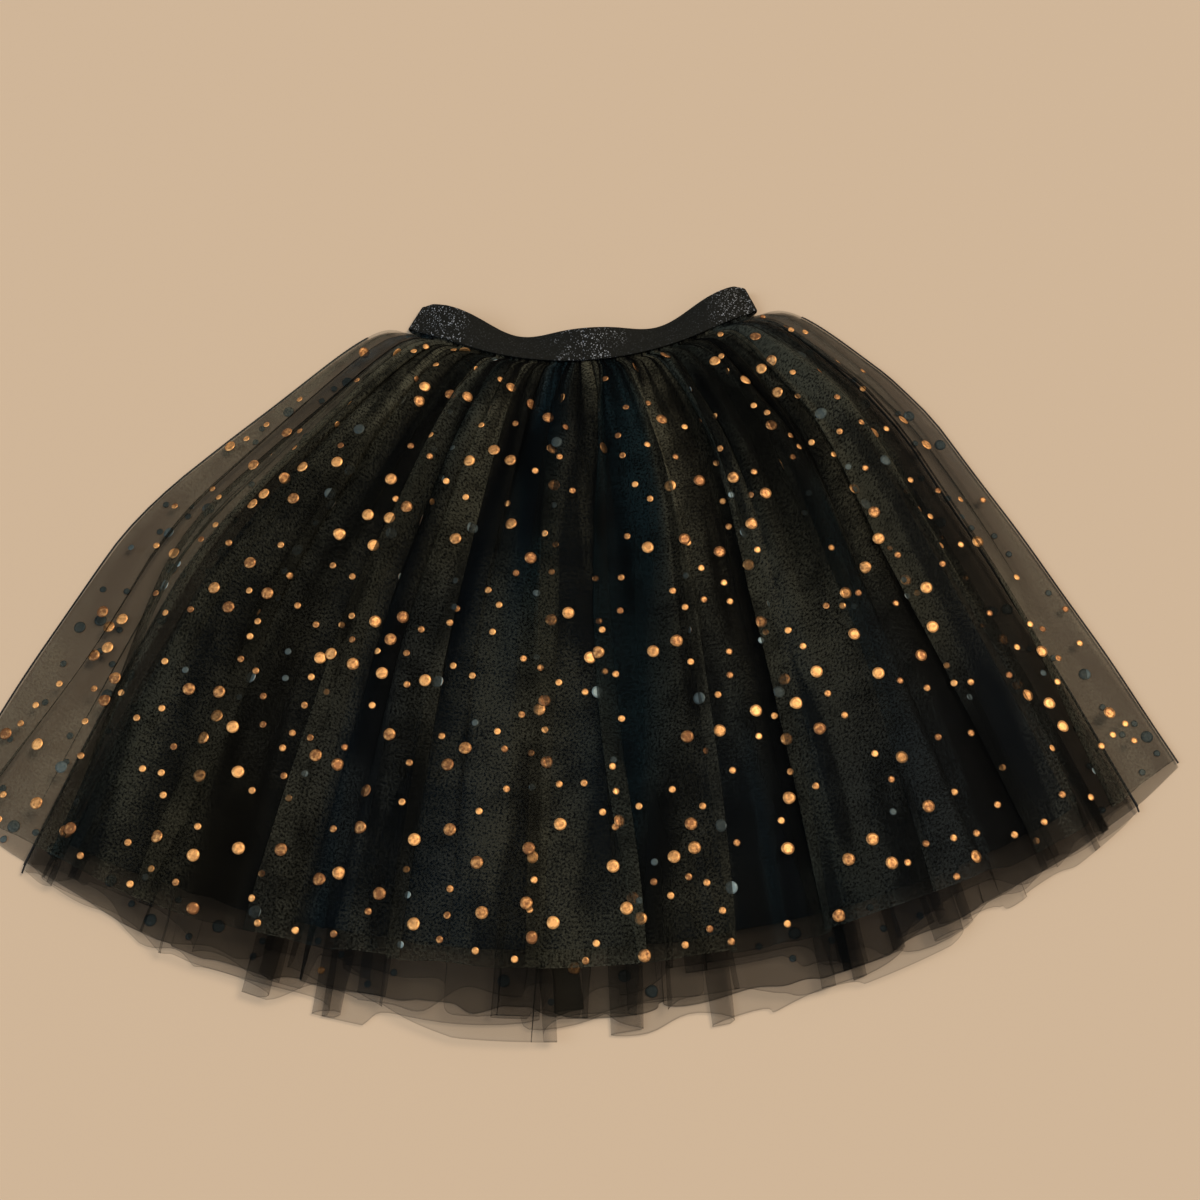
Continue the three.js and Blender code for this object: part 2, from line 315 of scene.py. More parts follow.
def build_panel(name, spec):
    """Grid of points of a panel of cloth, with its upward normals and its fields for the materials."""
    rng = np.random.default_rng(spec["seed"])
    rows, columns = spec["grid"]
    left, right = spec["edge"]
    material = np.linspace(0, 1, columns)[None, :]
    start = SKIRT_START - TUCK
    along = np.linspace(0, 1, rows)[:, None] ** ROW_BIAS
    along = np.insert(along, rows - 1, 1 - CUT_EDGE / spec["length"], axis=0)
    down = start + (hem_line(spec, rng, material) - start) * along
    share = -left + (left + right) * material + 0 * down
    radius, angle = fan(down, share)
    width = radius * angle * (left + right)
    shift, height = fold_field(spec, rng, material, down, width)
    share = np.clip(share + shift / (radius * angle), -left, right)
    x, y = laid(down, share)
    bottom, top = Room(name, SKIRT_START, spec["length"], spec["edge"]).at(down, share)
    squeeze = 0.4 + 0.6 * np.clip((down + TUCK) / 8, 0, 1) ** 0.7
    room = (top - bottom) * squeeze
    clear = np.minimum(CLEARANCE, room * 0.2)
    under = FLOOR_CLEARANCE if name == "overskirt_back" else clear
    z = bottom + under + (room - under - clear) * height
    points = np.stack([x, y, z], -1)
    edge = np.zeros_like(down)
    edge[-1] = 1
    fields = {
        "cloth": cloth_places(points),
        "normal": grid_normals(points),
        "relief": height,
        "edge": edge,
        "gather": material + 0 * down,
        "bunched": np.exp(-np.maximum(down, 0) / BUNCH_FADE) * np.clip((0.94 - abs(share)) / 0.15, 0, 1),
    }
    return {"points": points, "fields": fields, "spec": spec}


def grid_normals(points):
    """Upward unit normals of a grid of points."""
    normal = np.cross(np.gradient(points, axis=1), -np.gradient(points, axis=0))
    return normal / np.maximum(np.linalg.norm(normal, axis=-1, keepdims=True), 1e-9)


def cloth_places(points):
    """Sideways and downward distance along the cloth of every grid point, in millimetres."""
    across = np.linalg.norm(np.diff(points, axis=1), axis=-1).cumsum(1)
    along = np.linalg.norm(np.diff(points, axis=0), axis=-1).cumsum(0)
    across = np.pad(across, ((0, 0), (1, 0)))
    across -= across[:, across.shape[1] // 2][:, None]
    return np.stack([across, -np.pad(along, ((1, 0), (0, 0)))], -1)


def grid_faces(rows, columns):
    """Corner numbers of a grid's squares, wound to face up."""
    first = np.arange((rows - 1) * columns).reshape(rows - 1, columns)[:, :-1]
    return np.stack([first, first + columns, first + columns + 1, first + 1], -1).reshape(-1, 4)


def mesh_object(name, points, faces, fields=None):
    """A smooth mesh object from millimetre points.

    fields hold a value for each point. cloth is its place in the UV map, normal is its normal, and any other
    is a number that the materials read.
    """
    mesh = bpy.data.meshes.new(name)
    mesh.from_pydata((np.asarray(points) * MM).tolist(), [], [list(map(int, f)) for f in faces])
    mesh.shade_smooth()
    for field, values in (fields or {}).items():
        if field == "cloth":
            corners = np.zeros(len(mesh.loops), np.int32)
            mesh.loops.foreach_get("vertex_index", corners)
            uv = (np.asarray(values)[corners] * MM).astype(np.float32)
            mesh.uv_layers.new(name="cloth").data.foreach_set("uv", uv.ravel())
        elif field == "normal":
            mesh.normals_split_custom_set_from_vertices(np.asarray(values).tolist())
        else:
            attribute = mesh.attributes.new(field, "FLOAT", "POINT")
            attribute.data.foreach_set("value", np.asarray(values, np.float32).ravel())
    piece = bpy.data.objects.new(name, mesh)
    bpy.context.scene.collection.objects.link(piece)
    return piece


def cut_out(panel, keep):
    """The points, faces and fields of the squares of a panel where keep is true."""
    rows, columns = panel["points"].shape[:2]
    faces = grid_faces(rows, columns)[keep]
    used, faces = np.unique(faces, return_inverse=True)
    flat = {k: v.reshape(rows * columns, -1)[used] for k, v in panel["fields"].items()}
    return panel["points"].reshape(-1, 3)[used], faces.reshape(-1, 4), flat


# ---- Cutting panels into pieces ----


def side_chord(spec, side):
    """Unit direction from the side fold to the middle, and the distance across, of a front panel."""
    edge = spec["edge"][0 if side < 0 else 1] * side
    top = np.array(laid(0, edge))
    corner = np.array(laid(spec["length"], edge))
    chord = (corner - top) / np.linalg.norm(corner - top)
    inward = np.array([chord[1], -chord[0]])
    if inward[0] * side > 0:
        inward = -inward
    return inward, -(top + corner) @ inward / 2


def follow(piece, region):
    """Makes a piece ride on the back half, or bakes its transform into its mesh where it lies."""
    if region == "back":
        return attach(piece, "back_half")
    if region == "middle":
        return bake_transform(piece)
    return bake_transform(piece)


def regions(name, spec, places):
    """Which region of a panel each place lies in: a list of (suffix, side, region, mask)."""
    if name.endswith("back"):
        return [("", 0, "back", np.ones(len(places), bool))]
    found = []
    for side in SIDES:
        suffix = "_" + SIDE_NAMES[side]
        on_side = places[:, 0] * side >= 0
        if name != "overskirt_front":
            found.append((suffix, side, "side", on_side))
            continue
        inward, _ = side_chord(spec, side)
        middle = places[:, :2] @ inward > 0
        found.append((suffix + "_side", side, "side", on_side & ~middle))
        found.append((suffix + "_middle", side, "middle", on_side & middle))
    return found


def add_panel(name, panel):
    """Makes a panel's pieces: one for a back panel, and several for a front panel."""
    spec = panel["spec"]
    rows, columns = panel["points"].shape[:2]
    faces = grid_faces(rows, columns)
    centres = panel["points"].reshape(-1, 3)[faces].mean(1)
    for suffix, side, region, mask in regions(name, spec, centres):
        piece = mesh_object(f"{name}_cloth{suffix}", *cut_out(panel, mask))
        finish(piece, spec["finish"], name)
        follow(piece, region)


def finish(piece, slot, *nodes):
    """Gives a piece the material of its slot and hides the CAD nodes that it replaces in the scene."""
    piece.data.materials.append(MATERIALS[slot])
    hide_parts(*nodes)


# ---- Foil dots ----


def scatter(panel, rng):
    """Fractional rows and columns of dot centres, evenly spread over the cloth itself."""
    points, cloth = panel["points"], panel["fields"]["cloth"]
    across = np.linalg.norm(np.diff(points, axis=1), axis=-1)[:-1]
    along = np.linalg.norm(np.diff(points, axis=0), axis=-1)[:, :-1]
    area = (across * along).ravel()
    wanted = int(area.sum() * 1e-6 * DOTS_PER_SQUARE_METRE)
    cells = rng.choice(area.size, wanted * 8, p=area / area.sum())
    row = cells // across.shape[1] + rng.random(cells.size)
    column = cells % across.shape[1] + rng.random(cells.size)
    places = sample(cloth, row, column)
    from_left = places[:, 0] - sample(cloth, row, 0 * column)[:, 0]
    from_right = sample(cloth, row, 0 * column + points.shape[1] - 1)[:, 0] - places[:, 0]
    inside = (places[:, 1] < -TUCK - 4) & (row < points.shape[0] - 3)
    inside &= (from_left > DOT_MARGIN) & (from_right > DOT_MARGIN)
    kept = []
    for i in np.flatnonzero(inside):
        if len(kept) == wanted:
            break
        if not kept or np.linalg.norm(places[kept] - places[i], axis=1).min() > DOT_SPACING:
            kept.append(i)
    return row[kept], column[kept]


def dot_rings(radius):
    """Offsets across and down of a dot's centre, middle ring and rim."""
    turns = np.linspace(0, 2 * math.pi, DISC_SIDES, endpoint=False)
    ring = np.stack([np.cos(turns), np.sin(turns)], -1)
    return np.concatenate([[[0, 0]], ring * radius * 0.55, ring * radius])


def disc_faces(offset, flip):
    """Faces of a disc whose points are numbered from offset."""
    middle, rim = offset + 1, offset + 1 + DISC_SIDES
    faces = []
    for i in range(DISC_SIDES):
        j = (i + 1) % DISC_SIDES
        faces.append([offset, middle + j, middle + i])
        faces.append([middle + i, middle + j, rim + j, rim + i])
    return [face[::-1] for face in faces] if flip else faces


def rim_faces():
    """Faces that join the rims of a dot's two discs."""
    upper, lower = 1 + DISC_SIDES, DISC_POINTS + 1 + DISC_SIDES
    steps = [(i, (i + 1) % DISC_SIDES) for i in range(DISC_SIDES)]
    return [[upper + i, upper + j, lower + j, lower + i] for i, j in steps]


DOT_FACES = disc_faces(0, False) + disc_faces(DISC_POINTS, True) + rim_faces()


def dot_faces(offset, outside):
    """Faces of one dot numbered from offset, turned over when the dot is on the underside."""
    faces = [[corner + offset for corner in face] for face in DOT_FACES]
    return faces if outside > 0 else [face[::-1] for face in faces]


def dot_points(panel, row, column, radius, tilt, outside):
    """Points of one thin foil disc bonded to one side of the cloth, following its folds."""
    points, normals = panel["points"], panel["fields"]["normal"]
    here = sample(points, row, column)
    to_right = sample(points, row, column + 0.5) - sample(points, row, column - 0.5)
    to_hem = sample(points, row + 0.5, column) - sample(points, row - 0.5, column)
    hemward = to_hem / np.linalg.norm(to_hem)
    sideways = to_right - (to_right @ hemward) * hemward
    reach = max(np.linalg.norm(sideways), 0.3)
    sideways = sideways / reach
    offsets = dot_rings(radius)
    columns = offsets[:, 0] / reach
    rows = (offsets[:, 1] - columns * (to_right @ hemward)) / np.linalg.norm(to_hem)
    surface = sample(points, row + rows, column + columns)
    normal = sample(normals, row + rows, column + columns)
    flat = here + offsets[:, :1] * sideways + offsets[:, 1:] * hemward
    follows = np.clip(1 - 1.1 * np.linalg.norm(surface - flat, axis=1).max() / radius, 0, 0.7)
    surface = flat + (surface - flat) * follows
    normal = normal * follows + normal[0] * (1 - follows)
    normal *= outside / np.maximum(np.linalg.norm(normal, axis=1, keepdims=True), 1e-6)
    lift = DOT_LIFT + np.linalg.norm(tilt) * radius + offsets @ tilt
    upper = surface + normal * (lift + DOT_THICKNESS)[:, None]
    lower = surface + normal * lift[:, None]
    disc = np.concatenate([upper, lower])
    disc[:, 2] += max(0, DOT_LIFT - disc[:, 2].min())
    return disc


def add_foil(name, panel):
    """Scatters a panel's foil dots, and makes one piece for each piece of its cloth."""
    spec = panel["spec"]
    rng = np.random.default_rng(spec["seed"] + 100)
    row, column = scatter(panel, rng)
    centres = sample(panel["points"], row, column)
    radii = np.where(rng.random(len(row)) < BIG_SHARE, *DOT_RADII)
    tilts = rng.normal(0, DOT_TILT, (len(row), 2))
    # Painted reflection: a random brightness for each dot, from dull brown to bright orange, for how it would
    # catch the light.
    catchlights = rng.random(len(row))
    outside = np.where(rng.random(len(row)) < FLIPPED_SHARE, -1, 1) * (-1 if name.endswith("back") else 1)
    for suffix, side, region, mask in regions(name, spec, centres):
        chosen = np.flatnonzero(mask)
        points = [dot_points(panel, row[i], column[i], radii[i], tilts[i], outside[i]) for i in chosen]
        faces = [face for k, i in enumerate(chosen) for face in dot_faces(2 * DISC_POINTS * k, outside[i])]
        catchlight = np.repeat(catchlights[chosen], 2 * DISC_POINTS)
        piece = mesh_object(f"{name}_foil{suffix}", np.concatenate(points), faces, {"catchlight": catchlight})
        finish_foil(piece, len(chosen))
        follow(piece, region)


def finish_foil(piece, count):
    """Copper on the outside of each dot and its dull reverse towards the cloth."""
    piece.data.materials.append(MATERIALS["copper_foil"])
    piece.data.materials.append(MATERIALS["foil_reverse"])
    copper, reverse = 0, 1
    one_dot = [copper] * 2 * DISC_SIDES + [reverse] * 2 * DISC_SIDES + [copper] * DISC_SIDES
    piece.data.polygons.foreach_set("material_index", np.tile(one_dot, count).astype(np.int32))


# ---- Strips and cords ----


def tube(name, rings, cloth):
    """A closed solid through rings of points: an array of rings by points by three, with its cloth places."""
    rings = np.asarray(rings)
    count, around = rings.shape[:2]
    first = np.arange((count - 1) * around).reshape(count - 1, around)
    after = np.roll(first, -1, axis=1)
    faces = np.stack([first, after, after + around, first + around], -1).reshape(-1, 4).tolist()
    ends = [list(range(around))[::-1], list(range((count - 1) * around, count * around))]
    return mesh_object(name, rings.reshape(-1, 3), faces + ends, {"cloth": np.asarray(cloth).reshape(-1, 2)})


def overlock_rings(along, place, thickness, width):
    """Rings of an overlocked edge, a domed strip of slanting thread loops.

    place gives x, y and z for places across the strip, from 0 to 1.
    """
    across = np.array([0, 0.08, 0.25, 0.45, 0.65, 0.85, 0.97, 1, 0.9, 0.5, 0.1])
    dome = np.array([0.35, 0.75, 0.95, 1, 0.97, 0.85, 0.6, 0.3, 0.05, 0, 0.05])
    loops = 0.5 + 0.5 * np.cos(2 * math.pi * (along[:, None] / STITCH["pitch"] + across[None, :] * 0.9))
    x, y, z = place(across)
    height = dome * (1 - STITCH["loop"] * loops * (dome > 0.2))
    rings = np.stack([x, y, z + height * thickness], -1)
    cloth = np.stack([across * width + 0 * along[:, None], -along[:, None] + 0 * across], -1)
    return rings, cloth


def add_side_seam(tube_name, side):
    """The overlocked seam down one side of a tube of cloth."""
    name = f"{tube_name}_side_seam_{SIDE_NAMES[side]}"
    panel = PANELS[tube_name + "_back"]
    edge = side * panel["edge"][0 if side < 0 else 1]
    length = min(panel["length"], PANELS[tube_name + "_front"]["length"])
    corners = np.array([SIDE_SEAM["start"], *(r for r in ROWS if SIDE_SEAM["start"] < r <= length)])
    heights = np.array([seam_underside(name, d, edge, side) for d in corners])
    along = np.arange(SIDE_SEAM["start"], length - 0.5, STITCH["pitch"] / 5)
    rest = np.interp(along, corners, heights)[:, None]

    def place(across):
        outward = SIDE_SEAM["gap"] + SIDE_SEAM["width"] * (across if side > 0 else 1 - across)
        wobble = 0.25 * np.sin(along / 17)[:, None]
        x, y = laid(along[:, None], edge + 0 * across[None, :], side * (outward[None, :] + wobble))
        return x, y, rest

    rings, cloth = overlock_rings(along, place, SIDE_SEAM["thickness"], SIDE_SEAM["width"])
    piece = tube(name + "_overlock", rings, cloth)
    finish(piece, "thread", name)
    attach(piece, "back_half")


def seam_underside(node, down, edge, side):
    """Height of a side seam's underside at one of its corners."""
    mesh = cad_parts[node].data
    x, y = laid(down, edge, side * (SIDE_SEAM["gap"] + SIDE_SEAM["width"] / 2))
    near = sorted(mesh.vertices, key=lambda v: (v.co.x - x * MM) ** 2 + (v.co.y - y * MM) ** 2)[:4]
    return min(v.co.z for v in near) / MM


# ---- Waistband ----


def ripple_tilt(share):
    """How far the front elastic stands up from the floor, in radians."""
    phase = 2 * math.pi * (share * WAIST_HALF - BAND["shift"]) / BAND["ripple"]
    return np.radians(BAND["mean_tilt"] + BAND["tilt_swing"] * np.cos(phase))


def rounded(up, share):
    """Places up the elastic, drawn down where its free edge rounds off at a side fold."""
    near_end = np.clip((np.abs(share) - CORNER["start"]) / (1 - CORNER["start"]), 0, 1)
    return up * (1 - CORNER["drop"] * near_end**2)


class Lift:
    """Height of a waistband strip's underside where it meets the skirt, read from its CAD solid."""

    def __init__(self, node, tilt):
        tree = solid_tree(node)
        low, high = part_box(node)
        reach = max(-low.x, high.x) / MM / WAIST_HALF
        self.shares = np.linspace(-1, 1, 81) * min(reach, 1) * 0.99
        self.heights = [self.probe(tree, share, tilt) for share in self.shares]

    @staticmethod
    def probe(tree, share, tilt):
        up = 1.0
        x, y = laid(BAND["seam"] - up * math.cos(tilt(share)), share)
        hit = tree.ray_cast((x * MM, y * MM, -1), (0, 0, 1))[0]
        return hit.z / MM - up * math.sin(tilt(share))

    def at(self, share):
        return np.interp(share, self.shares, self.heights)


def band_profile():
    """Places up the elastic and across its thickness around one section: its ribs, then its plain inside."""
    ribs = round(BAND["height"] / RIB_PITCH)
    up = np.linspace(0.5, BAND["height"] - 0.5, 2 * ribs + 1)
    outer = 1 - RIB_DEPTH * (1 - np.cos(2 * math.pi * up / RIB_PITCH)) / 2
    inside = up[::-4]
    ends = [[BAND["height"], 0.75], [BAND["height"], 0.25]], [[0, 0.25], [0, 0.75]]
    front = np.stack([up, outer], -1)
    back = np.stack([inside, 0 * inside], -1)
    return np.concatenate([front, ends[0], back, ends[1]])


def front_band_rings(shares, profile, lift):
    """Rings of the front elastic, standing up from the gathers by its ripple."""
    up, out = rounded(profile[:, 0], shares[:, None]), profile[:, 1]
    tilt = ripple_tilt(shares)[:, None]
    pucker = 0.18 * np.sin(shares * WAIST_HALF * 1.07)[:, None] * np.exp(-up / 5)
    x, y = laid(BAND["seam"] - up * np.cos(tilt), shares[:, None] + 0 * up)
    z = lift.at(shares)[:, None] + up * np.sin(tilt) + out * BAND["thickness"] + pucker
    return np.stack([x, y, z], -1)


def fold_rings(share, profile, lift):
    """Rings of the half turn at a side fold, from the front elastic round to the back elastic."""
    side = math.copysign(1, share)
    out = (profile[:, 1] - 0.5) * BAND["thickness"]
    tilt = float(ripple_tilt(share))
    turns = np.linspace(0, math.pi, 13)[1:, None]
    up = rounded(profile[:, 0], share) * (1 - CORNER["fold_drop"] * np.sin(turns))
    front = lift.at(share) + up * math.sin(tilt) + BAND["thickness"] / 2
    back = BACK_BAND_LIFT + BAND["thickness"] / 2
    radius = (front - back) / 2
    across = np.minimum(radius, 2.6) + out
    slide = (1 - np.cos(turns)) / 2 * up * (1 - math.cos(tilt))
    x, y = laid(BAND["seam"] - up * math.cos(tilt) - slide, share, side * across * np.sin(turns))
    z = (front + back) / 2 + (radius + out) * np.cos(turns)
    return np.stack([x, y, z], -1)


def band_cloth(rings, profile):
    """Places along and up the elastic for its material."""
    steps = np.linalg.norm(np.diff(rings.mean(1), axis=0), axis=-1)
    along = np.concatenate([[0], steps.cumsum()])
    return np.stack(np.broadcast_arrays(along[:, None], profile[:, 0] + 40 * (profile[:, 1] < 0.3)), -1)


def add_waistband():
    """The loop of elastic: two front halves with their side folds, and the back."""
    profile = band_profile()
    lift = Lift("waistband_front", ripple_tilt)
    for side in SIDES:
        front = front_band_rings(side * np.sin(np.linspace(0, math.pi / 2, 150)), profile, lift)
        rings = np.concatenate([front, fold_rings(side, profile, lift)])
        rings = rings if side < 0 else rings[::-1]
        cloth = band_cloth(rings, profile)
        piece = tube(f"waistband_front_{SIDE_NAMES[side]}", rings[:, ::-1], cloth[:, ::-1])
        finish(piece, "glitter_elastic", "waistband_front")
        follow(piece, "side")
    shares = np.linspace(-1, 1, 160)
    up, out = rounded(profile[:, 0], shares[:, None]), profile[:, 1]
    x, y = laid(BAND["seam"] - up, shares[:, None])
    z = BACK_BAND_LIFT + (1 - out) * BAND["thickness"] + 0 * x
    rings = np.stack([x, y, z], -1)
    piece = tube("waistband_back_strip", rings, band_cloth(rings, profile))
    finish(piece, "glitter_elastic", "waistband_back")
    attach(piece, "back_half")


def add_waist_seams():
    """The gathered tops of the layers, overlocked together under the front elastic and over the back one."""
    for half, tilt, region in (("front", ripple_tilt, "side"), ("back", flat_tilt, "back")):
        node = f"waist_seam_{half}"
        lift = Lift(node, tilt)
        for side in SIDES:
            along = np.arange(0, SEAM_ALLOWANCE["reach"] * WAIST_HALF, STITCH["pitch"] / 5)
            shares = side * along[:, None] / WAIST_HALF

            def place(across):
                up = SEAM_ALLOWANCE["height"] * (1 - across if side > 0 else across)[None, :]
                x, y = laid(BAND["seam"] - up * np.cos(tilt(shares)), shares + 0 * up)
                return x, y, lift.at(shares) + up * np.sin(tilt(shares))

            thickness = SEAM_ALLOWANCE["thickness"][half]
            rings, cloth = overlock_rings(along, place, thickness, SEAM_ALLOWANCE["height"])
            piece = tube(f"{node}_overlock_{SIDE_NAMES[side]}", rings, cloth)
            finish(piece, "thread", node)
            follow(piece, region)


def flat_tilt(share):
    """The back elastic lies flat."""
    return 0 * share


def add_care_label():
    """A blank satin label, folded at its free end, whose corners lift a little."""
    low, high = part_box("care_label")
    across = np.linspace(low.x / MM, high.x / MM, 25)
    along = np.linspace(high.y / MM, low.y / MM, 33)
    x, y = np.meshgrid(across, along)
    tree = solid_tree("care_label")
    rays = [[tree.ray_cast((a * MM * 0.98, b * MM, -1), (0, 0, 1)) for a in across] for b in along[1:-1]]
    z = np.array([[ray[0].z / MM for ray in row] for row in rays])
    z = np.concatenate([z[:1], z, z[-1:]])
    curl = 0.12 * ((x / across[-1]) ** 4) + 0.05 * np.sin(y / 4)
    top = np.stack([x, y, z + 0.3 + curl], -1)
    bottom = np.stack([x, y, z + 0.1 + curl], -1)
    rings = np.concatenate([top, bottom[:, ::-1]], axis=1)
    piece = tube("care_label_satin", rings[:, ::-1], rings[:, ::-1, :2])
    finish(piece, "label_satin", "care_label")
    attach(piece, "back_half")


# ---- Materials ----

NET_PITCH = 0.0011  # metres across one hole of the net
SPECK_PITCH = 0.0006


def find_socket(node, key):
    """An input of a node, by its number, as i0, i1 and so on, or by its name."""
    if key[0] == "i" and key[1:].isdigit():
        return node.inputs[int(key[1:])]
    return node.inputs[key.replace("_", " ")]


def feed(socket, value):
    """Links an input to an output of another node, or sets it to a plain value."""
    if isinstance(value, bpy.types.NodeSocket):
        socket.id_data.links.new(value, socket)
    else:
        socket.default_value = value


def node_material(name):
    """An empty node material and a helper that adds a node to it and feeds its inputs."""
    material = bpy.data.materials.new(name)
    material.use_nodes = True
    tree = material.node_tree
    tree.nodes.clear()

    def add(kind, operation=None, **inputs):
        node = tree.nodes.new(kind)
        if operation:
            node.operation = operation
        for key, value in inputs.items():
            feed(find_socket(node, key), value)
        return node

    return material, add


def complete(material, add, **inputs):
    """Gives a material its surface."""
    surface = add("ShaderNodeBsdfPrincipled", **inputs)
    add("ShaderNodeOutputMaterial", Surface=surface.outputs[0])
    return material


def compute(add, operation, *values):
    """The result of one step of arithmetic."""
    inputs = {f"i{i}": value for i, value in enumerate(values)}
    return add("ShaderNodeMath", operation, **inputs).outputs[0]


def remap(add, value, low, high, to_low, to_high):
    """A number moved from the range low to high into another range, and held within it."""
    return add("ShaderNodeMapRange", Value=value, i1=low, i2=high, i3=to_low, i4=to_high).outputs[0]


def cloth_uv(add, scale):
    """Cloth coordinates, in units of 1 / scale metres."""
    uv = add("ShaderNodeUVMap")
    uv.uv_map = "cloth"
    return add("ShaderNodeVectorMath", "SCALE", i0=uv.outputs["UV"], Scale=scale).outputs[0]


def noise(add, size, detail=2.0):
    """Cloudy noise over the cloth, of spots about size metres across."""
    return add("ShaderNodeTexNoise", Vector=cloth_uv(add, 1 / size), Scale=1.0, Detail=detail).outputs[0]


def bump(add, height, strength, distance=0.0001):
    """Normals that follow a height."""
    return add("ShaderNodeBump", Height=height, Strength=strength, Distance=distance).outputs[0]


def attribute(add, name):
    """A number kept at each point of the mesh."""
    node = add("ShaderNodeAttribute")
    node.attribute_name = name
    return node.outputs["Fac"]


def blend_colors(add, factor, low, high):
    """A colour between low and high."""
    mix = add("ShaderNodeMix")
    mix.data_type = "RGBA"
    feed(mix.inputs[0], factor)
    feed(mix.inputs[6], low)
    feed(mix.inputs[7], high)
    return mix.outputs[2]


def gather_tint(add, count, seed, drift=2.0):
    """A number from 0 to 1 that changes across the cloth from fold to fold and slowly down it."""
    across = compute(add, "MULTIPLY", attribute(add, "gather"), float(count))
    place = add("ShaderNodeSeparateXYZ", Vector=cloth_uv(add, drift))
    spot = add("ShaderNodeCombineXYZ", X=across, Y=place.outputs["Y"], Z=float(seed))
    spread = add("ShaderNodeTexNoise", Vector=spot.outputs[0], Scale=1.0, Detail=1.5)
    return remap(add, spread.outputs[0], 0.36, 0.64, 0.0, 1.0)


def crease_shadow(add, count, seed, drift, depth):
    """A factor that falls from 1, by up to depth, along narrow creases between the gathers: painted shadow in
    the creases.
    """
    shade = remap(add, gather_tint(add, count, seed, drift), 0.1, 0.5, -1.0, 0.0)
    return compute(add, "MULTIPLY_ADD", shade, depth, 1.0)


def net_alpha(add, passes):
    """How solid the net looks: more so at a slant, where bunched, on its threads and at its cut edge."""
    geometry = add("ShaderNodeNewGeometry")
    normal, view = geometry.outputs["Normal"], geometry.outputs["Incoming"]
    facing = add("ShaderNodeVectorMath", "DOT_PRODUCT", i0=normal, i1=view).outputs["Value"]
    cosine = compute(add, "MAXIMUM", compute(add, "ABSOLUTE", facing), 0.2)
    bunched = compute(add, "MULTIPLY_ADD", attribute(add, "bunched"), 1.5, 1.0)
    through = compute(add, "POWER", passes, compute(add, "DIVIDE", bunched, cosine))
    solid = compute(add, "SUBTRACT", 1.0, through)
    net = add("ShaderNodeTexVoronoi", Vector=cloth_uv(add, 1 / NET_PITCH), Scale=1.0)
    net.voronoi_dimensions = "2D"
    net.feature = "DISTANCE_TO_EDGE"
    thread = remap(add, net.outputs["Distance"], 0.02, 0.16, 1.16, 0.9)
    cut = compute(add, "MULTIPLY", attribute(add, "edge"), 0.28)
    alpha = add("ShaderNodeMath", "MULTIPLY_ADD", i0=solid, i1=thread, i2=cut)
    alpha.use_clamp = True
    return alpha.outputs[0]


def net_color(add, warm_highlight, cool_reflection):
    """Colour of the net: grainy and mottled, with painted shade down in its folds, along its creases and in
    broad dark zones, and painted reflections: a warm highlight on one fold and a cool sheen on the next.
    """
    grain = remap(add, noise(add, 0.0016, 1.0), 0.36, 0.64, 0.15, 1.85)
    mottle = remap(add, noise(add, 0.022, 3.0), 0.35, 0.65, 0.52, 1.12)
    # Painted shadow along the narrow creases between the gathers, deepest where the net is bunched at the
    # waist.
    crease_shadows = (
        crease_shadow(add, 17, 6.1, 4.0, 0.6),
        crease_shadow(add, 46, 2.2, 6.0, 0.7),
        crease_shadow(add, 110, 9.7, 7.0, attribute(add, "bunched")),
    )
    # Painted shade: the colour falls towards black down in the valleys of the folds, where the relief is low.
    lit = remap(add, attribute(add, "relief"), 0.1, 0.85, 0.15, 1.0)
    for factor in (grain, mottle, *crease_shadows):
        lit = compute(add, "MULTIPLY", lit, factor)
    # Painted reflection: the dark zones turn from near black to navy, as if they reflected cool light.
    blue_reflection = compute(add, "POWER", gather_tint(add, 6, 8.4, 5.0), 2.0)
    deep_shade = blend_colors(add, blue_reflection, (0.003, 0.003, 0.002, 1), (0.0, 0.011, 0.024, 1))
    # Painted reflection: the raised folds take a warm highlight on some and a cool sheen on others.
    reflection_coolness = compute(add, "POWER", gather_tint(add, 15, 1.3), 2.0)
    ridge_highlight = blend_colors(add, reflection_coolness, warm_highlight, cool_reflection)
    # Painted shade: broad dark zones from fold to fold.
    shade_zone = compute(add, "MULTIPLY_ADD", gather_tint(add, 8, 5.1, 4.0), 0.65, 0.35)
    highlight_and_shade = blend_colors(add, shade_zone, deep_shade, ridge_highlight)
    return blend_colors(add, lit, (0.001, 0.001, 0.001, 1), highlight_and_shade)


def tulle_material(name, passes, warm_highlight, cool_reflection):
    """Fine black net. passes is the share of light that gets through one layer of it, face on. Of the two
    colours given, the first is its painted warm highlight and the second its painted cool reflection.
    """
    material, add = node_material(name)
    alpha = net_alpha(add, passes)
    color = net_color(add, warm_highlight, cool_reflection)
    return complete(material, add, Base_Color=color, Roughness=0.55, Alpha=alpha, Specular_IOR_Level=0.02)


def lining_material():
    """Opaque knit with a soft gloss, whose colour holds a painted reflection that turns from blue-black to
    brown-black from fold to fold.
    """
    material, add = node_material("lining")
    weave = bump(add, noise(add, 0.0008), 0.2)
    # Painted reflection: blue-black where the folds would reflect cool light, brown-black elsewhere.
    blue_reflection = compute(add, "POWER", gather_tint(add, 11, 3.7), 1.5)
    color = blend_colors(add, blue_reflection, (0.004, 0.003, 0.0015, 1), (0.0, 0.011, 0.024, 1))
    return complete(material, add, Base_Color=color, Roughness=0.4, Specular_IOR_Level=0.05, Normal=weave)


